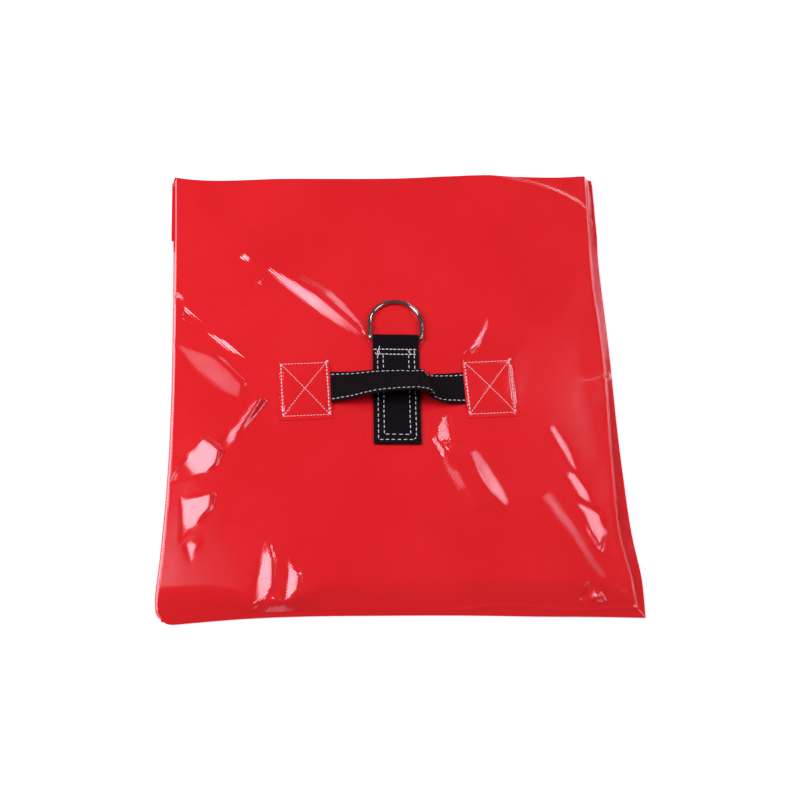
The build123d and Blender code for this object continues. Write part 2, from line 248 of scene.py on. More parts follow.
def solid_sheet(name, top, under, material, uv=None):
    """A closed thin solid between two grids of points."""
    rows, cols = top.shape[:2]
    count = rows * cols
    index = np.arange(count).reshape(rows, cols)
    faces = grid_faces(rows, cols)
    loop = np.concatenate([index[0, :-1], index[:-1, -1], index[-1, :0:-1], index[:0:-1, 0]])
    after = np.roll(loop, -1)
    rim = np.stack([loop + count, after + count, after, loop], -1)
    points = np.concatenate([top.reshape(-1, 3), under.reshape(-1, 3)])
    both = None if uv is None else np.concatenate([uv.reshape(-1, 2)] * 2)
    return make(name, points, np.concatenate([faces, faces[:, ::-1] + count, rim]), material, both)


def ribbon(name, centre, across, width, thick, material, wave=0.12):
    """Webbing along a path: ribs across it, and a slightly scalloped selvedge."""
    along = unit(np.gradient(centre, axis=0))
    across = unit(across - along * np.sum(across * along, -1, keepdims=True))
    normal = np.cross(across, along)
    length = run(centre)
    s = np.linspace(-1, 1, 15)
    rib = np.cos(2 * pi * length / RIB_PITCH)
    reach = (width / 2 + 0.2 * rib)[:, None, None] * s[None, :, None]
    half = (thick / 2 * (1 - 0.45 * s ** 8))[None, :] + wave * rib[:, None] * (1 - s ** 8)[None, :] - wave
    middle = centre[:, None] + across[:, None] * reach
    lift = normal[:, None] * half[..., None]
    uv = np.stack(np.broadcast_arrays(s[None, :] * width / 2, length[:, None]), -1)
    return solid_sheet(name, middle + lift, middle - lift, material, uv)


def resampled(points, step):
    """The same path in even steps."""
    points = np.asarray(points, float)
    length = run(points)
    at = np.linspace(0, length[-1], max(2, ceil(length[-1] / step) + 1))
    return at_length(at, length, points)


def stitched(name, rows, material, pitch, dash, wide, high):
    """Rows of single stitches. A row is a path on the cloth and the cloth's normal along it."""
    points, faces = [], []
    sides = 6
    ring = np.linspace(0, 2 * pi, sides, endpoint=False)
    stations = np.linspace(0, 1, 6)
    swell = np.sqrt(1 - (2 * stations - 1) ** 4 * 0.94)
    for path, normal in rows:
        path, normal = np.asarray(path, float), np.broadcast_to(normal, np.shape(path))
        length = run(path)
        count = max(1, round(length[-1] / pitch))
        real_pitch = length[-1] / count
        for n in range(count):
            start = (n + 0.5) * real_pitch - dash * real_pitch / pitch / 2 + rng.normal(0, 0.12)
            at = np.clip(start + stations * dash * real_pitch / pitch, 0, length[-1])
            middle = at_length(at, length, path)
            up = unit(at_length(at, length, normal))
            along = unit(middle[-1] - middle[0])
            side = unit(np.cross(up, along))
            shift, skew = rng.normal(0, 0.1), rng.normal(0, 0.15)
            middle = middle + side * shift + side * (stations[:, None] - 0.5) * skew
            middle = middle + up * (high * (swell[:, None] - 0.75))
            girth = swell[:, None, None]
            body = (middle[:, None] + side[:, None] * (np.cos(ring)[None, :, None] * wide / 2 * girth)
                    + up[:, None] * (np.sin(ring)[None, :, None] * high / 2 * girth))
            base = len(points)
            points.extend(body.reshape(-1, 3))
            for k in range(len(stations) - 1):
                for j in range(sides):
                    a, b = base + sides * k + j, base + sides * k + (j + 1) % sides
                    faces.append((a, b, b + sides, a + sides))
            faces.append(tuple(base + j for j in reversed(range(sides))))
            faces.append(tuple(base + sides * (len(stations) - 1) + j for j in range(sides)))
    return make(name, points, faces, material, sharp=80)


def strand(name, points, radius, material):
    """A loose end of thread."""
    curve = bpy.data.curves.new(name, "CURVE")
    curve.dimensions = "3D"
    curve.bevel_depth = radius * MM
    curve.bevel_resolution = 2
    spline = curve.splines.new("NURBS")
    spline.points.add(len(points) - 1)
    for slot, p in zip(spline.points, points):
        slot.co = (p[0] * MM, p[1] * MM, p[2] * MM, 1)
    spline.order_u = 3
    spline.use_endpoint_u = True
    bent = bpy.data.objects.new(name + "_curve", curve)
    mesh = bpy.data.meshes.new_from_object(bent)
    bpy.data.objects.remove(bent)
    mesh.materials.append(material)
    return linked(name, mesh)


def stands_for(piece, node, body):
    """A piece takes a CAD node's place and moves with one body."""
    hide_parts(node)
    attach(piece, body)


# ---- materials ----
class Nodes:
    """A material's node tree, with short calls for what the materials here need."""

    def __init__(self, name):
        self.material = bpy.data.materials.new(name)
        self.material.use_nodes = True
        self.tree = self.material.node_tree
        self.shader = self.tree.nodes["Principled BSDF"]

    def add(self, kind, **values):
        node = self.tree.nodes.new(kind)
        for key, value in values.items():
            if key in node.inputs:
                node.inputs[key].default_value = value
            else:
                setattr(node, key, value)
        return node

    def join(self, source, target):
        self.tree.links.new(source, target)

    def set(self, **values):
        for key, value in values.items():
            self.shader.inputs[key.replace("_", " ")].default_value = value

    def drive(self, socket, source):
        self.join(source, self.shader.inputs[socket])

    def place(self, kind="Object"):
        return self.add("ShaderNodeTexCoord").outputs[kind]

    def noise(self, place, scale, detail=4.0):
        node = self.add("ShaderNodeTexNoise", Scale=scale, Detail=detail)
        self.join(place, node.inputs["Vector"])
        return node.outputs["Fac"]

    def calc(self, operation, a, b=0.0):
        node = self.add("ShaderNodeMath", operation=operation)
        for socket, value in zip(node.inputs, (a, b)):
            if isinstance(value, (int, float)):
                socket.default_value = value
            else:
                self.join(value, socket)
        return node.outputs[0]

    def ramp(self, value, low, high, to_low, to_high):
        node = self.add("ShaderNodeMapRange", interpolation_type="SMOOTHSTEP")
        self.join(value, node.inputs["Value"])
        for key, number in zip(("From Min", "From Max", "To Min", "To Max"), (low, high, to_low, to_high)):
            node.inputs[key].default_value = number
        return node.outputs["Result"]

    def mix(self, factor, a, b):
        node = self.add("ShaderNodeMix", data_type="RGBA")
        self.join(factor, node.inputs["Factor"])
        node.inputs["A"].default_value = (*a, 1)
        node.inputs["B"].default_value = (*b, 1)
        return node.outputs["Result"]

    def axes(self, place):
        node = self.add("ShaderNodeSeparateXYZ")
        self.join(place, node.inputs[0])
        return node.outputs

    def wave(self, coordinate, pitch, phase=0.0):
        """A sine of a coordinate in metres, with a pitch in millimetres."""
        turns = self.calc("MULTIPLY", coordinate, 2 * pi / (pitch * MM))
        return self.calc("SINE", self.calc("ADD", turns, phase))

    def bump(self, height, distance, strength=1.0, before=None):
        node = self.add("ShaderNodeBump", Strength=strength, Distance=distance * MM)
        self.join(height, node.inputs["Height"])
        if before is not None:
            self.join(before, node.inputs["Normal"])
        return node.outputs["Normal"]


def red_vinyl():
    """Glossy coated fabric: its scrim shows through the coat as a fine weave."""
    m = Nodes("red_vinyl")
    place = m.place()
    x, y, _ = m.axes(place)
    cloud = m.noise(place, 9.0, 3.0)
    m.drive("Base Color", m.mix(m.ramp(cloud, 0.3, 0.7, 0, 1), (0.86, 0.011, 0.016), (0.91, 0.015, 0.021)))
    smear = m.noise(place, 60.0, 5.0)
    m.drive("Roughness", m.ramp(smear, 0.25, 0.8, 0.09, 0.18))
    weave = m.calc("MULTIPLY", m.wave(x, SCRIM_PITCH), m.wave(y, SCRIM_PITCH))
    grain = m.noise(place, 900.0, 2.0)
    soft = m.bump(m.noise(place, 28.0, 2.0), 0.7, 0.25)
    normal = m.bump(m.calc("ADD", weave, m.calc("MULTIPLY", grain, 0.4)), 0.06, 0.8, soft)
    m.drive("Normal", normal)
    m.set(Coat_Weight=0.55, Coat_Roughness=0.08, Coat_IOR=1.5)
    m.drive("Coat Normal", m.bump(weave, 0.035, 0.8, soft))
    return m.material


def webbing(name, light, dark):
    """Woven tape: ribs across it and yarns along it."""
    m = Nodes(name)
    u, v, _ = m.axes(m.place("UV"))
    yarn = m.calc("MULTIPLY", m.wave(u, 1.15), m.wave(v, RIB_PITCH / 2))
    rib = m.wave(v, RIB_PITCH, pi / 2)
    fuzz = m.noise(m.place(), 1600.0, 3.0)
    height = m.calc("ADD", m.calc("ADD", m.calc("MULTIPLY", yarn, 0.5), rib), m.calc("MULTIPLY", fuzz, 0.8))
    m.drive("Normal", m.bump(height, 0.12, 0.8))
    # colour follows the relief: the hollows between ribs and yarns are painted darker, as painted shade, and
    # the fuzz adds random tone
    m.drive("Base Color", m.mix(m.ramp(height, -1.2, 1.6, 0, 1), dark, light))
    m.drive("Roughness", m.ramp(fuzz, 0.3, 0.7, 0.62, 0.85))
    m.set(Sheen_Weight=0.01, Sheen_Roughness=0.4, Specular_IOR_Level=0.12)
    return m.material


def thread(name, light, dark):
    """Twisted sewing thread."""
    m = Nodes(name)
    place = m.place()
    x, y, _ = m.axes(place)
    twist = m.wave(m.calc("ADD", x, y), 0.7)
    fuzz = m.noise(place, 3000.0, 2.0)
    # the grooves of the twist are painted darker, as painted shade; the fuzz adds random tone
    tone = m.ramp(m.calc("ADD", twist, fuzz), -0.6, 1.4, 0, 1)
    m.drive("Base Color", m.mix(tone, dark, light))
    m.drive("Normal", m.bump(twist, 0.05, 0.6))
    m.set(Roughness=0.6, Sheen_Weight=0.1)
    return m.material


def polished_nickel():
    """Plated wire with faint drawing marks and a few dull spots."""
    m = Nodes("polished_nickel")
    place = m.place()
    marks = m.noise(place, 700.0, 3.0)
    dull = m.noise(place, 120.0, 4.0)
    m.drive("Roughness", m.ramp(dull, 0.45, 0.75, 0.09, 0.24))
    m.drive("Base Color", m.mix(m.ramp(dull, 0.4, 0.8, 0, 1), (0.46, 0.42, 0.38), (0.34, 0.30, 0.27)))
    m.drive("Normal", m.bump(marks, 0.02, 0.5))
    m.set(Metallic=1.0)
    return m.material


def pile(name, light, dark, size):
    """Hook or loop pile: small bristling points."""
    m = Nodes(name)
    place = m.place()
    cells = m.add("ShaderNodeTexVoronoi", Scale=1000.0 / size)
    m.join(place, cells.inputs["Vector"])
    fuzz = m.noise(place, 2200.0, 3.0)
    height = m.calc("ADD", m.calc("SUBTRACT", 1.0, cells.outputs["Distance"]), m.calc("MULTIPLY", fuzz, 0.6))
    # the hollows between the points are painted darker, as painted shade; the fuzz adds random tone
    m.drive("Base Color", m.mix(m.ramp(height, 0.4, 1.3, 0, 1), dark, light))
    m.drive("Normal", m.bump(height, 0.4, 1.0))
    m.set(Roughness=0.85, Sheen_Weight=0.3)
    return m.material


def glass_cloth():
    """Off-white glass-fibre cloth in a plain weave with a faint yellow tint."""
    m = Nodes("glass_cloth")
    u, v, _ = m.axes(m.place("UV"))
    weave = m.calc("MULTIPLY", m.wave(u, 1.8), m.wave(v, 1.8))
    cloud = m.noise(m.place("UV"), 14.0, 4.0)
    slub = m.noise(m.place("UV"), 800.0, 2.0)
    # the weave's low crossings are painted a little darker, as painted shade; the cloud is the cloth's own
    # uneven tone
    tone = m.ramp(m.calc("ADD", m.calc("MULTIPLY", weave, 0.25), cloud), 0.2, 0.9, 0, 1)
    m.drive("Base Color", m.mix(tone, (0.60, 0.56, 0.47), (0.80, 0.77, 0.69)))
    m.drive("Normal", m.bump(m.calc("ADD", weave, slub), 0.12, 0.9))
    m.set(Roughness=0.62, Sheen_Weight=0.25, Sheen_Roughness=0.4)
    return m.material


def pale_floor():
    """A white sheet that glows a little, as an overexposed backdrop does."""
    m = Nodes("pale_floor")
    grain = m.noise(m.place(), 40.0, 3.0)
    m.drive("Base Color", m.mix(grain, (0.90, 0.90, 0.90), (0.93, 0.93, 0.93)))
    m.set(Roughness=0.9, Specular_IOR_Level=0.1, Emission_Color=(1, 1, 1, 1), Emission_Strength=FLOOR_GLOW)
    return m.material


VINYL = red_vinyl()
BLACK = webbing("black_webbing", (0.008, 0.006, 0.007), (0.0015, 0.001, 0.0012))
WHITE_THREAD = thread("white_thread", (0.95, 0.94, 0.94), (0.80, 0.79, 0.78))
RED_THREAD = thread("red_thread", (0.62, 0.03, 0.03), (0.40, 0.02, 0.02))
NICKEL = polished_nickel()
HOOK_PILE = pile("hook_pile", (0.10, 0.012, 0.012), (0.035, 0.004, 0.004), 1.3)
LOOP_PILE = pile("loop_pile", (0.16, 0.015, 0.016), (0.05, 0.006, 0.006), 0.7)
GLASS = glass_cloth()
PULL_WEBBING = webbing("pull_webbing", (0.70, 0.05, 0.03), (0.36, 0.02, 0.015))


# ---- the pouch's surface ----
def round_corner(across, up):
    """How far the points near the lower left corner move in, along x and along y, to round it."""
    spread = CORNER_SPREAD * LEFT_CORNER_R
    return CORNER_CUT * LEFT_CORNER_R * np.exp(-(across ** 2 + up ** 2) / spread ** 2)


def pouch_grid():
    """The front panel's points in plan, and their distances from the left, right and closed edges."""
    across, up = np.meshgrid(spaced(POUCH_W, fine=0.75, band=18, step=2.0),
                             spaced(POUCH_L, fine=0.75, band=15, step=2.0))
    x0, y0 = across - HALF_W, up + BOTTOM_Y
    share_x, share_y = across / POUCH_W, up / POUCH_L
    left, right = through(y0, LEFT_EDGE), through(y0, RIGHT_EDGE)
    bottom, top = through(x0, BOTTOM_EDGE), MOUTH_Y - SHEET + through(x0, TOP_EDGE)
    x = left * (1 - share_x) + right * share_x
    y = bottom * (1 - share_y) + top * share_y
    corner = round_corner(across, up)
    return x + corner, y + corner, across, POUCH_W - across, up


def near(route, widths, x, y):
    """For each point: distance to a route and across it, and the route's width, place and direction there."""
    route = np.asarray(route, float)
    knots = np.linspace(0, 1, len(route))
    t = np.linspace(0, 1, 14 * len(route))
    line = np.stack([through(t, np.stack([knots, route[:, i]], -1)) for i in (0, 1)], -1)
    along = unit(np.gradient(line, axis=0))
    wide = np.interp(t, knots, widths)
    away = (x[..., None] - line[:, 0]) ** 2 + (y[..., None] - line[:, 1]) ** 2
    k = away.argmin(-1)
    dx, dy = x - line[k, 0], y - line[k, 1]
    across = along[k, 0] * dy - along[k, 1] * dx
    return np.sqrt(away.min(-1)), across, wide[k], line[k], along[k]


def fold(height, x, y, route, widths, lamp, gain=1.0):
    """A soft fold whose flank leans as far as it takes to mirror a lamp."""
    distance, across, wide, place, along = near(route, widths, x, y)
    slope_x, slope_y = lean_to(lamp, place[..., 0], place[..., 1])
    slope = gain * (slope_y * along[..., 0] - slope_x * along[..., 1])
    rising = np.where(slope > 0, across, -across)
    beyond = np.sqrt(np.maximum(0, distance ** 2 - across ** 2))
    climb = higher_of(lower_of(rising, wide, 1.5), -wide, 1.5) + wide
    fall = 1 - ease((rising - wide) / (FOLD_FALL * wide))
    return height + np.abs(slope) * climb * fall * np.exp(-(beyond / wide) ** 2)


def facet(height, x, y, corners, lamp, share=1.0, soft=4.0):
    """A flat place with straight edges that leans to mirror a lamp. Its corners run anticlockwise."""
    corners = np.array(corners, float)
    mask = np.ones_like(x)
    for (x0, y0), (x1, y1) in zip(corners, np.roll(corners, -1, axis=0)):
        inside = ((x1 - x0) * (y - y0) - (y1 - y0) * (x - x0)) / np.hypot(x1 - x0, y1 - y0)
        mask = mask * ease(inside / soft + 1.0)
    middle = corners.mean(axis=0)
    slope_x, slope_y = lean_to(lamp, middle[0], middle[1])
    plane = share * (slope_x * (x - middle[0]) + slope_y * (y - middle[1]))
    gap = (height - plane)[mask > 0.5]
    plane = plane + gap.min() + FACET_LEVEL * (gap.max() - gap.min())
    return height * (1 - mask) + mask * plane


def swells(x, y):
    """Long, low waves of the filled pouch."""
    return (0.8 * np.sin(x / 61 + y / 97 + 0.6) + 0.6 * np.sin(x / 103 - y / 57 + 2.1)
            + 0.3 * np.sin(x / 29 + y / 41 + 4.0) + 0.25 * np.sin(x / 37 - y / 23 + 1.0))


def out_of(node, x, y, slide=0.0):
    """Distance in plan from a CAD node's box, which may be longer by its slide to the mouth."""
    low, high = span(node)
    return np.hypot(np.maximum(0, np.maximum(low[0] - x, x - high[0])),
                    np.maximum(0, np.maximum(low[1] - y, y - high[1] - slide)))


def clear_of_hardware(x, y):
    """1 on the open cloth, 0 under the patches, the strap and the ring."""
    free = np.ones_like(x)
    for node, reach in (("patch_left", 11), ("patch_right", 11), ("ring_strap", 7), ("d_ring", 7)):
        free = free * ease(out_of(node, x, y) / reach)
    return free


def room_below(x, y):
    """How far the panel may sink below its full height, so that the blanket can slide out under it."""
    room = np.full_like(x, OPEN_DIP)
    for node, dip in (("blanket", BLANKET_DIP), ("pull_tape_left", TAPE_DIP), ("pull_tape_right", TAPE_DIP)):
        beside = ease((out_of(node, x, y, MOUTH_Y) - ROOM_MARGIN) / ROOM_FADE)
        room = dip + (room - dip) * beside
    return room


def shoulder(away, margin, margin_z, rise):
    """Height over an edge: a flat margin, then a round shoulder."""
    flat = RIM_Z + (margin_z - RIM_Z) * away / margin
    share = np.clip((away - margin) / rise, 0, 1)
    return np.where(away < margin, flat, margin_z + (FACE_Z - margin_z) * np.sin(share * pi / 2))


def bead(away, line):
    """The ridge that a weld leaves at some distance from an edge."""
    return BEAD * np.exp(-((away - line) / BEAD_W) ** 2)


def front_surface(x, y, from_left, from_right, from_bottom):
    """Height of the front panel's outer face."""
    right_line = through(y, RIGHT_LINE)
    right_z = RIGHT_MARGIN_Z + RIGHT_MARGIN_LIFT * ease((y - RIGHT_LIFT_FROM) / RIGHT_LIFT_OVER)
    left = shoulder(from_left, LEFT_MARGIN, LEFT_MARGIN_Z, LEFT_ROUND)
    right = shoulder(from_right, right_line - RIGHT_BEFORE_LINE, right_z, RIGHT_ROUND)
    bottom_round = through(x, BOTTOM_SHOULDER) - BOTTOM_MARGIN
    bottom = shoulder(from_bottom, BOTTOM_MARGIN, BOTTOM_MARGIN_Z, bottom_round)
    sides = lower_of(lower_of(left, right, 0.4), bottom, 0.6)
    sides = sides + bead(from_right, right_line + 1) * ease((from_bottom - 6) / 4)
    bottom_bead = bead(from_bottom, through(x, BOTTOM_LINE))
    sides = sides + bottom_bead * ease((x - 20) / 50) * ease((from_right - 6) / 4)
    edge = np.minimum(np.minimum(from_left, from_right), from_bottom)
    inside = ease((edge - 8) / 30)
    height = sides + inside * swells(x, y) * SWELL_SHARE

    # the corner beside the mouth sits lower, outside a sharp crease
    distance, across, _, _, _ = near(CREASE_LINE, np.ones(len(CREASE_LINE)), x, y)
    height = height - CREASE_FALL * np.maximum(0, across) * ease((y - 200) / 25)
    height = height + CREASE_H * np.exp(-(distance / CREASE_W) ** 2)

    # a long fold from the upper left corner to the strap, and two small marks above it
    height = fold(height, x, y, ((-222, 228), (-185, 186), (-150, 150)), (6, 9, 8), LEFT_LAMP, 0.3)
    height = fold(height, x, y, ((-134, 142), (-108, 119), (-80, 95), (-54, 72), (-32, 54)),
                  (4, 7, 8, 6, 3), LEFT_LAMP)
    for corners in (((-166, 156), (-159, 153), (-154, 158), (-160, 164)),
                    ((-149, 122), (-140, 120), (-142, 129))):
        height = facet(height, x, y, corners, LEFT_LAMP)

    # folds that run in from the left edge
    for corners in (((-236, 100), (-226, 94), (-232, 106), (-242, 110)),
                    ((-226, 96), (-224, 78), (-206, 58), (-195, 60), (-208, 78)),
                    ((-199, 62), (-197, 52), (-184, 39), (-159, 30), (-177, 49))):
        height = facet(height, x, y, corners, LEFT_LAMP)
    height = facet(height, x, y, ((-229, 44), (-212, 12), (-190, -12), (-166, -18), (-162, -4), (-192, 30)),
                   LEFT_LAMP, 0.6, 8)
    height = facet(height, x, y, ((-190, -88), (-180, -84), (-142, -26), (-148, -24)), LEFT_LAMP, 0.7, 5)
    for corners in (((-231, -116), (-204, -110), (-189, -101), (-184, -84), (-201, -69), (-220, -94)),
                    ((-221, -181), (-208, -166), (-193, -150), (-192, -134), (-222, -140)),
                    ((-216, -190), (-212, -203), (-205, -188))):
        height = facet(height, x, y, corners, LEFT_LAMP)

    # two flames that draw together at the closed end
    for corners in (((-134, -192), (-140, -207), (-147, -234), (-147, -252), (-136, -246), (-130, -235),
                     (-129, -208)),
                    ((-113, -208), (-117, -238), (-119, -251), (-105, -241), (-103, -224))):
        height = facet(height, x, y, corners, LEFT_LAMP)
    height = fold(height, x, y, ((-140, -258), (-131, -250), (-124, -258)), (2, 2.5, 2), LEFT_LAMP, 1.5)

    # the fold below the right patch
    height = facet(height, x, y, ((57, -44), (45, -57), (42, -72), (51, -89), (60, -78), (58, -58)),
                   RIGHT_LAMP)
    for shift in (0, 13, 25):
        route = ((56 + shift, -80 - shift * 0.3), (66 + shift, -102 - shift * 0.3),
                 (78 + shift, -128 - shift * 0.2), (86 + shift, -150))
        height = fold(height, x, y, route, (4, 6, 6, 3.5), RIGHT_LAMP)
    height = facet(height, x, y, ((81, 31), (86, 31), (113, 70), (108, 72)), RIGHT_LAMP)

    # streaks beside the right edge, and the valley towards the lower right corner
    for corners in (((163, -62), (170, -78), (181, -104), (188, -112), (182, -84), (170, -62)),
                    ((177, -118), (189, -147), (199, -153), (197, -136), (186, -116)),
                    ((189, -150), (196, -184), (204, -200), (210, -182), (207, -161))):
        height = facet(height, x, y, corners, RIGHT_LAMP)
    height = facet(height, x, y, ((183, -252), (199, -254), (191, -241)), LEFT_LAMP)
    height = fold(height, x, y, ((141, -151), (165, -192), (191, -234), (222, -256)), (7, 7, 5, 3),
                  RIGHT_LAMP, -0.5)
    height = facet(height, x, y, ((214, -3), (222, -4), (238, 6), (230, 4)), RIGHT_LAMP)

    height = higher_of(height, np.minimum(sides, FACE_Z) - room_below(x, y), 0.5)
    free = clear_of_hardware(x, y)
    height = FACE_Z * (1 - free) + height * free
    held = ease(edge / 5)
    return sides * (1 - held) + height * held


def front_panel():
    """The puffed and creased front of the pouch. Its points are returned for the lip to start from."""
    x, y, from_left, from_right, from_bottom = pouch_grid()
    z = front_surface(x, y, from_left, from_right, from_bottom)
    top = np.stack([x, y, z], -1)
    piece = solid_sheet("front_cloth", top, top - grid_normals(top) * SHEET, VINYL)
    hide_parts("front_panel")
    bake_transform(piece)
    return top


def back_panel():
    """The side that lies down. It steps up over the flap's closure."""
    across, up = np.meshgrid(spaced(POUCH_W, fine=0.9, band=8, step=6),
                             spaced(POUCH_L - 2 * SHEET, fine=0.9, band=8, step=3))
    x0, y0 = across - HALF_W, up + BOTTOM_Y
    share_x, share_y = across / POUCH_W, up / POUCH_L
    x = through(y0, LEFT_EDGE) * (1 - share_x) + through(y0, RIGHT_EDGE) * share_x
    y = through(x0, BOTTOM_EDGE) * (1 - share_y) + MOUTH_Y * share_y
    corner = round_corner(across, up)
    raised_from = FLAP_END_Y - 23
    lift = (span("back_panel")[1][2] - SHEET) * ease((y - raised_from) / 15)
    beside = ease(across / 14) * ease((POUCH_W - across) / 14) * ease(up / 14)
    ripple = np.sin(x / 47 + y / 71) + np.sin(x / 83 - y / 39 + 1.3)
    wave = 0.25 * beside * ripple * (1 - ease((y - 150) / 20))
    z = SHEET + lift + np.abs(wave)
    top = np.stack([x + corner, y + corner, z], -1)
    piece = solid_sheet("back_cloth", top, top - np.array((0, 0, SHEET)), VINYL)
    stands_for(piece, "back_panel", "pouch")


FLAP_PROUD = 1.6            # the flap stands out this far at the left
FLAP_TAPER = 0.006          # and narrows by this share
FLAP_BEND_ROWS = 6


def flap(front_top):
    """The lip over the mouth and the flap behind it, one sheet with two creases."""
    rim = front_top[-1]
    x = rim[:, 0] - FLAP_PROUD * ease(-rim[:, 0] / HALF_W)
    edge_y, edge_z = rim[:, 1], rim[:, 2]
    low_z = FLAP_LOW[2]
    turns = np.linspace(0, pi / 2, FLAP_BEND_ROWS)
    rows = []
    for t in turns:
        rows.append(np.stack([x, edge_y + SHEET * np.sin(t), edge_z - SHEET * (1 - np.cos(t))], -1))
    for share in np.linspace(0.08, 0.92, 12):
        bow = 0.5 * np.sin(pi * share) * np.cos(x / 38)
        z = (edge_z - SHEET) * (1 - share) + (low_z + SHEET) * share
        rows.append(np.stack([x, edge_y + SHEET + bow, np.maximum(z, low_z + SHEET * (1 - share))], -1))
    top = np.array(rows)
    under = top - grid_normals(top) * SHEET * 0.98
    lip = solid_sheet("lip_cloth", top[:, ::-1], under[:, ::-1], VINYL)
    stands_for(lip, "flap_lip", "lip")

    rows = []
    for t in turns:
        z = np.full_like(x, low_z + SHEET * (1 - np.sin(t)))
        rows.append(np.stack([x, edge_y + SHEET * np.cos(t), z], -1))
    for y in np.linspace(MOUTH_Y - 2, FLAP_END_Y, 34):
        share = (MOUTH_Y - y) / (MOUTH_Y - FLAP_END_Y)
        line = y + (edge_y - MOUTH_Y) * (1 - share) ** 3 + 0.6 * share * np.sin(x / 44)
        rows.append(np.stack([x * (1 - FLAP_TAPER * share), line, np.full_like(x, low_z)], -1))
    outer = np.array(rows)
    inner = outer.copy()
    inner[..., 2] += SHEET
    inner[:FLAP_BEND_ROWS, :, 1] -= SHEET * np.cos(turns)[:, None]
    inner[:FLAP_BEND_ROWS, :, 2] = low_z + SHEET
    piece = solid_sheet("flap_cloth", inner[::-1, ::-1], outer[::-1, ::-1], VINYL)
    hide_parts("closing_flap")
    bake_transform(piece)


# ---- patches ----
PATCH_TURN = radians(2.0)
PATCH_RISE = 1.6            # over the webbing's sewn end
PATCH_STITCH_IN = (3.2, 5.0)
PATCH_RAMP_FROM, PATCH_RAMP = 14.0, 13.0    # beside the webbing
FAR = 50.0                  # pushes a stitch line away where it has ended
KNOT_R = 1.5


def patch_height(a, b, half, inward):
    """Height of a patch's outer face. a and b run from its middle; inward is +1 or -1, to the strap."""
    sewn_end = span("handle_end_left")
    half_web = (sewn_end[1][1] - sewn_end[0][1]) / 2
    length = sewn_end[1][0] - sewn_end[0][0]
    cover = 2 * half[0] - length
    over = ease((a * inward + half[0]) / cover) * ease((half_web + PATCH_RAMP_FROM - np.abs(b)) / PATCH_RAMP)
    inner = half - PATCH_STITCH_IN
    to_box = np.minimum(np.abs(np.abs(a) - inner[0]) + FAR * (np.abs(b) > inner[1] + 0.5),
                        np.abs(np.abs(b) - inner[1]) + FAR * (np.abs(a) > inner[0] + 0.5))
    slant = inner[1] / inner[0]
    to_cross = np.minimum(np.abs(b - slant * a), np.abs(b + slant * a)) / np.hypot(1, slant)
    to_cross = to_cross + FAR * (np.abs(a) > inner[0] + 0.5)
    pulled = 0.35 * np.exp(-(to_box / 1.6) ** 2) + 0.3 * np.exp(-(to_cross / 1.8) ** 2)
    puff = 0.5 * np.exp(-((np.abs(a) - inner[0] * 0.55) / 7) ** 2 - (b / 14) ** 2)
    pucker = 0.12 * np.sin(b * 1.6) * np.exp(-(to_box / 3) ** 2)
    return FACE_Z + SHEET + PATCH_RISE * over - pulled + puff + pucker


def patch(side, inward):
    """A patch with its box-and-cross stitching."""
    node = "patch_" + side
    low, high = span(node)
    middle, half = (low + high)[:2] / 2, (high - low)[:2] / 2
    a, b = np.meshgrid(spaced(2 * half[0], fine=0.6, band=5, step=1.1) - half[0],
                       spaced(2 * half[1], fine=0.6, band=8, step=1.1) - half[1])

    def placed(a, b, above=0.0):
        z = patch_height(a, b, half, inward) + above
        return turned(np.stack([middle[0] + a, middle[1] + b, z], -1), PATCH_TURN, middle)

    top = placed(a, b)
    under = top.copy()
    under[..., 2] = np.maximum(FACE_Z + 0.02, under[..., 2] - SHEET)
    piece = solid_sheet("patch_cloth_" + side, top, under, VINYL)
    stands_for(piece, node, "pouch")

    box = half - PATCH_STITCH_IN
    corners = [(-box[0], -box[1]), (box[0], -box[1]), (box[0], box[1]), (-box[0], box[1])]

    def row(start, end):
        line = resampled([start, end], ROW_STEP)
        return placed(line[:, 0], line[:, 1]), UP

    sides = [row(corners[1], corners[2]), row(corners[3], corners[0])]
    ends = [row(corners[0], corners[1]), row(corners[2], corners[3])]
    crosses = [row(corners[0], corners[2]), row(corners[1], corners[3])]
    heavy = stitched("patch_stitches_" + side, sides, WHITE_THREAD, **PATCH_SIDE_STITCH)
    light = stitched("patch_lines_" + side, ends + crosses, WHITE_THREAD, **PATCH_LINE_STITCH)
    knot_at = placed(np.array(box[0] + 0.5), np.array(box[1] + 1.0), 0.4)
    loops = [knot_at + np.array((KNOT_R * cos(t), KNOT_R * sin(t * 1.3), 0.5 * abs(sin(t * 2.1))))
             for t in np.arange(0, 9, 0.8)]
    knot = strand("patch_knot_" + side, loops, 0.35, WHITE_THREAD)
    for piece in (heavy, light, knot):
        stands_for(piece, "patch_thread_" + side, "pouch")


# ---- ring strap ----
STRAP_TURN = radians(-1.3)
STRAP_ABOUT = (3.0, -15.0)
STRAP_T = 1.4
STRAP_W = 50.0
STRAP_END = -79.8
LAYERS_MEET = 37.1
BAR_Y = 48.8
LOOP_R = 3.25               # from the loop's middle to the webbing's
LOOP_FROM = radians(112)
OUTER_X, INNER_X = 20.0, 13.9           # the two stitch frames, from the strap's middle
TOP_ROW, SECOND_ROW = 35.1, 29.0        # and along y
LOW_ROW, INNER_LOW_ROW = -74.8, -68.7


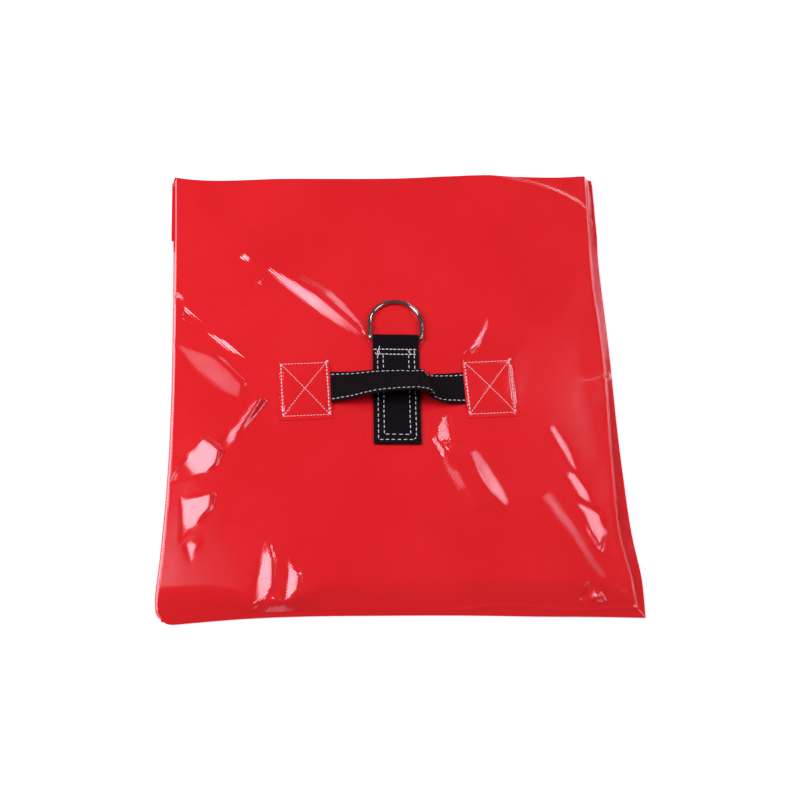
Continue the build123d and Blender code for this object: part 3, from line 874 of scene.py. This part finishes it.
def ring_strap():
    """Webbing folded in two round the ring's bar."""
    x = STRAP_ABOUT[0]
    top_z, low_z = FACE_Z + 1.5 * STRAP_T, FACE_Z + 0.5 * STRAP_T
    bar_z = low_z + LOOP_R
    flat = [(x, y, top_z) for y in np.linspace(STRAP_END, LAYERS_MEET - 1.5, 30)]
    bend = np.linspace(LOOP_FROM, -pi / 2, 22)
    round_bar = [(x, BAR_Y + LOOP_R * cos(t), bar_z + LOOP_R * sin(t)) for t in bend]
    back = [(x, y, low_z) for y in np.linspace(BAR_Y - 3, STRAP_END + 0.8, 30)]
    centre = resampled(flat + round_bar + back, RIB_PITCH / 5)
    centre = turned(centre, STRAP_TURN, STRAP_ABOUT)
    across = np.broadcast_to((cos(STRAP_TURN), sin(STRAP_TURN), 0.0), centre.shape)
    piece = ribbon("strap_webbing", centre, across, STRAP_W, STRAP_T, BLACK)
    stands_for(piece, "ring_strap", "pouch")

    surface = top_z + STRAP_T / 2 - 0.1

    def rows(*corners):
        paths = [np.array([(x + c[0], c[1], surface) for c in pair]) for pair in zip(corners, corners[1:])]
        return [(turned(resampled(path, ROW_STEP), STRAP_TURN, STRAP_ABOUT), UP) for path in paths]

    outer_rows = rows((OUTER_X, TOP_ROW), (OUTER_X, LOW_ROW + 3), (OUTER_X - 2.5, LOW_ROW),
                      (-OUTER_X, LOW_ROW), (-OUTER_X, TOP_ROW))
    inner_rows = rows((INNER_X, SECOND_ROW), (INNER_X, INNER_LOW_ROW), (-INNER_X, INNER_LOW_ROW),
                      (-INNER_X, SECOND_ROW))
    cross_rows = rows((-24.5, TOP_ROW), (22.5, TOP_ROW)) + rows((-20.5, SECOND_ROW), (22.0, SECOND_ROW))
    outer = stitched("strap_stitches_outer", outer_rows, WHITE_THREAD, **STRAP_STITCH)
    inner = stitched("strap_stitches_inner", inner_rows, WHITE_THREAD, **STRAP_STITCH)
    cross = stitched("strap_cross_stitches", cross_rows, WHITE_THREAD, **CROSS_STITCH)
    # two loose ends of thread, as they lie
    loose = strand("strap_loose_thread", [
        (x - 17, 43, surface + 0.6), (x - 16.2, 39, surface + 1.0), (x - 17.8, 34, surface + 0.7),
        (x - 16.4, 30, surface + 0.6), (x - 19.0, 27, surface + 0.9), (x - 21.5, 30.5, surface + 0.8)],
        0.45, WHITE_THREAD)
    squiggle = strand("strap_knot", [
        (x + 14, 33, surface + 0.4), (x + 17, 32.2, surface + 0.9), (x + 13.8, 30.6, surface + 0.9),
        (x + 17.4, 29.4, surface + 0.6)], 0.4, WHITE_THREAD)
    for piece, node in ((outer, "strap_thread_outer"), (inner, "strap_thread_inner"),
                        (cross, "strap_cross_thread"), (loose, "strap_cross_thread"),
                        (squiggle, "strap_cross_thread")):
        stands_for(piece, node, "pouch")


# ---- grip handle ----
HANDLE_X = 4.4
HANDLE_W = 38.0
HANDLE_T = 1.6
HANDLE_HALF = 72.0
HANDLE_AIR = 0.3            # under its lower edge
HANDLE_SPLIT = 8.0          # where its two halves meet
DROP_FROM, DROP_TO = 26.0, 44.0         # the steep drop, where its points lie closer together
LEFT_BEND, RIGHT_BEND = (-66, -26), (68, 34)    # each half bends between these
HANDLE_ROWS = (("upper", -15.5), ("lower", 15.5))   # from its middle line
# along x from the handle's middle: height, place in y, and twist in degrees
HANDLE_RISE = ((-72, 0.3), (-62, 0.8), (-44, 5.8), (-24, 11.2), (-6, 13.4), (12, 14.2), (24, 14.2),
               (30, 13.2), (34, 8.0), (38, 2.2), (43, 0.5), (72, 0.3))
HANDLE_MIDDLE = ((-72, -10.5), (-24, -9.5), (12, -9.5), (30, -10.5), (38, -13.0), (50, -14.0), (72, -13.0))
HANDLE_TWIST = ((-72, 3), (-50, 12), (-24, 21), (0, 25), (26, 25), (34, 20), (42, 11), (58, 4), (72, 0))


def handle():
    """The grip, twisted so that its far edge hangs lower. Its halves bend up from the pouch."""
    x = np.concatenate([np.linspace(-HANDLE_HALF, DROP_FROM, 330), np.linspace(DROP_FROM + 0.3, DROP_TO, 110),
                        np.linspace(DROP_TO + 0.3, HANDLE_HALF, 90)])
    twist = np.radians(through(x, HANDLE_TWIST))
    low = FACE_Z + HANDLE_T / 2 + HANDLE_AIR + HANDLE_W / 2 * np.sin(twist)
    z = np.maximum(FACE_Z + HANDLE_T / 2 + through(x, HANDLE_RISE), low)
    centre = np.stack([HANDLE_X + x, through(x, HANDLE_MIDDLE), z], -1)
    along = unit(np.gradient(centre, axis=0))
    side = np.array((0.0, -1.0, 0.0))
    level = unit(side - along * (along @ side)[:, None])
    up = np.cross(level, along)
    across = level * np.cos(twist)[:, None] + up * np.sin(twist)[:, None]
    normal = np.cross(across, along)
    split = int(np.argmin(np.abs(x - HANDLE_SPLIT)))
    halves = (("left", slice(0, split + 1), LEFT_BEND), ("right", slice(split, len(x)), RIGHT_BEND))
    for name, part, bend in halves:
        piece = ribbon("handle_webbing_" + name, centre[part], across[part], HANDLE_W, HANDLE_T, BLACK)
        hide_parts("handle_webbing")
        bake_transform(piece)
        for row, reach in HANDLE_ROWS:
            path = centre[part] + across[part] * reach + normal[part] * (HANDLE_T / 2 - 0.05)
            threads = stitched(f"handle_stitches_{row}_{name}", [(path, normal[part])],
                               WHITE_THREAD, **HANDLE_STITCH)
            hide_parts("handle_thread_" + row)
            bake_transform(threads)


# ---- the folded blanket ----
FOLDS_ACROSS = 4            # layers
FOLDS_ALONG = 5
BEND_REACH = 3.2            # from a fold, where the sheet's points lie close together
CLOTH_T = 0.28
CLOTH_AIR, CLOTH_AIR_Z = 0.5, 0.3       # inside the CAD blanket's box, on each side
PRESSED = 0.4               # share of its height that the stack keeps at its edges
TINY = 1e-6                 # keeps a division by a bend's length from failing where there is none


def zigzag(s, length, layers, stack, heights):
    """A stack folded back and forth, and points that lie at some heights in it: their places and heights."""
    i = np.clip((s // length).astype(int), 0, layers - 1)
    within = s - i * length
    forward = i % 2 == 0
    radius_end = np.where(forward, stack - heights, heights)
    radius_start = np.where(forward, heights, stack - heights)
    bend_end, bend_start = radius_end * pi / 2, radius_start * pi / 2
    last, first = i == layers - 1, i == 0
    past_end = np.clip((within - (length - bend_end)) / np.maximum(bend_end, TINY), 0, 1)
    before_start = np.clip((bend_start - within) / np.maximum(bend_start, TINY), 0, 1)
    turn_out = np.where(last, 0.0, past_end) * pi / 2
    turn_in = np.where(first, 0.0, before_start) * pi / 2
    flat = np.clip(within, np.where(first, 0, bend_start), np.where(last, length, length - bend_end))
    along = flat + radius_end * np.sin(turn_out) - radius_start * np.sin(turn_in)
    level = np.where(forward, heights, stack - heights)
    rise = i * stack + level + radius_end * (1 - np.cos(turn_out)) - radius_start * (1 - np.cos(turn_in))
    return np.where(forward, along, length - along), rise


def fold_lines(length, layers, bends, flats):
    """Distances along a folded sheet, close together at its folds."""
    marks = [0.0]
    for i in range(layers):
        low, high = i * length, (i + 1) * length
        after_low = () if i == 0 else low + np.linspace(0, 1, bends)[1:] * BEND_REACH
        before_high = () if i == layers - 1 else high - np.linspace(1, 0, bends)[:-1] * BEND_REACH
        marks.extend([*after_low, *np.linspace(low, high, flats)[1:-1], *before_high, high])
    return np.unique(np.round(marks, 4))


def blanket():
    """One square sheet, folded in four across and then in five along."""
    low, high = BLANKET_LOW, BLANKET_HIGH
    width, length = (high - low)[:2] - 2 * CLOTH_AIR
    layer = (high[2] - low[2] - 2 * CLOTH_AIR_Z) / FOLDS_ACROSS / FOLDS_ALONG
    stack = layer * FOLDS_ACROSS
    u = fold_lines(width, FOLDS_ACROSS, 7, 26)
    v = fold_lines(length, FOLDS_ALONG, 9, 30)
    su, sv = np.meshgrid(u, v)
    x, height = zigzag(su, width, FOLDS_ACROSS, layer, np.full_like(su, layer / 2))
    y, rise = zigzag(sv, length, FOLDS_ALONG, stack, height)
    number = (su // width) + FOLDS_ACROSS * (sv // length)
    slip = 0.9 * np.sin(number * 2.4) * (np.abs(x / width - 0.5) * 2) ** 3
    x = x + low[0] + CLOTH_AIR + slip * np.sign(x / width - 0.5)
    y = y + low[1] + CLOTH_AIR
    inside = ease(np.minimum(x - low[0], high[0] - x) / 30) * ease((y - low[1]) / 45)
    pressed = PRESSED + (1 - PRESSED) * inside
    rise = rise * pressed
    sag = 0.12 * np.sin(x / 31 + y / 53) * (rise / (high[2] - low[2]))
    grid = np.stack([x, y, low[2] + CLOTH_AIR_Z + rise + sag], -1)
    rows, cols = grid.shape[:2]
    uv = np.stack([su, sv], -1).reshape(-1, 2)
    piece = make("blanket_cloth", grid.reshape(-1, 3), grid_faces(rows, cols), GLASS, uv, sharp=180)
    thick = piece.modifiers.new("cloth", "SOLIDIFY")
    thick.thickness = CLOTH_T * MM
    thick.offset = 0
    stands_for(piece, "blanket", "blanket")


def pull_tape(side):
    """A tape sewn to the blanket, to pull it out by."""
    node = "pull_tape_" + side
    low, high = span(node)
    middle = (low + high) / 2
    y = np.arange(low[1], high[1], RIB_PITCH / 5)
    centre = np.stack([np.full_like(y, middle[0]), y, np.full_like(y, middle[2])], -1)
    piece = ribbon("pull_webbing_" + side, centre, np.broadcast_to((1.0, 0.0, 0.0), centre.shape),
                   high[0] - low[0], high[2] - low[2], PULL_WEBBING, 0.08)
    stands_for(piece, node, "blanket")
    thread_low, thread_high = span("tape_thread_" + side)
    corners = [(thread_low[0], thread_low[1]), (thread_high[0], thread_low[1]),
               (thread_high[0], thread_high[1]), (thread_low[0], thread_high[1])]
    surface = high[2] - 0.1
    pairs = list(zip(corners, corners[1:] + corners[:1]))
    pairs += [(corners[0], corners[2]), (corners[1], corners[3])]
    rows = [(resampled([(*a, surface), (*b, surface)], 1.0), UP) for a, b in pairs]
    stitches = stitched("tape_stitches_" + side, rows, WHITE_THREAD, **TAPE_STITCH)
    stands_for(stitches, "tape_thread_" + side, "blanket")


# ---- CAD nodes that keep their shape ----
def repaint():
    """Give each of these its material."""
    finishes = {"d_ring": NICKEL, "hook_strip": HOOK_PILE, "loop_strip": LOOP_PILE,
                "hook_strip_thread": RED_THREAD, "loop_strip_thread": RED_THREAD,
                "handle_end_left": BLACK, "handle_end_right": BLACK}
    for node, material in finishes.items():
        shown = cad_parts[node]
        if not shown.material_slots:
            shown.data.materials.append(material)
        for slot in shown.material_slots:
            slot.material = material


# ---- stage ----
def camera():
    """The camera stands high on the closed end's side and looks down at the pouch."""
    data = bpy.data.cameras.new("camera")
    data.lens = LENS
    data.sensor_width = SENSOR
    data.clip_end = VIEW_END
    shot = linked("camera", data)
    turn = (Matrix.Rotation(CAMERA_YAW, 4, "Z") @ Matrix.Rotation(CAMERA_TILT, 4, "X")
            @ Matrix.Rotation(CAMERA_ROLL, 4, "Z"))
    shot.matrix_world = Matrix.Translation(Vector(CAMERA_AT * MM)) @ turn
    bpy.context.scene.camera = shot


def softbox(name, place, size, power):
    """A flat lamp that faces the middle of the pouch."""
    data = bpy.data.lights.new(name, "AREA")
    data.shape = "RECTANGLE"
    data.size, data.size_y = size[0] * MM, size[1] * MM
    data.energy = power
    data.color = LAMP_TINT
    lamp = linked(name, data)
    at = Vector(np.asarray(place, float) * MM)
    lamp.location = at
    lamp.rotation_euler = at.to_track_quat("Z", "Y").to_euler()


def stage():
    """The floor, the world's light and the lamps."""
    mesh = bpy.data.meshes.new("floor")
    signs = ((-1, -1), (1, -1), (1, 1), (-1, 1))
    mesh.from_pydata([(a * FLOOR_REACH, b * FLOOR_REACH, FLOOR_Z) for a, b in signs], [], [(0, 1, 2, 3)])
    mesh.materials.append(pale_floor())
    linked("floor", mesh)
    world = bpy.data.worlds.new("studio")
    world.use_nodes = True
    background = world.node_tree.nodes["Background"]
    background.inputs["Color"].default_value = (1, 1, 1, 1)
    background.inputs["Strength"].default_value = AMBIENT
    bpy.context.scene.world = world
    bpy.context.scene.view_settings.view_transform = "Standard"
    for lamp in SOFTBOXES:
        softbox(*lamp)


camera()
stage()
front_top = front_panel()
back_panel()
flap(front_top)
patch("left", 1)
patch("right", -1)
ring_strap()
handle()
blanket()
pull_tape("left")
pull_tape("right")
repaint()
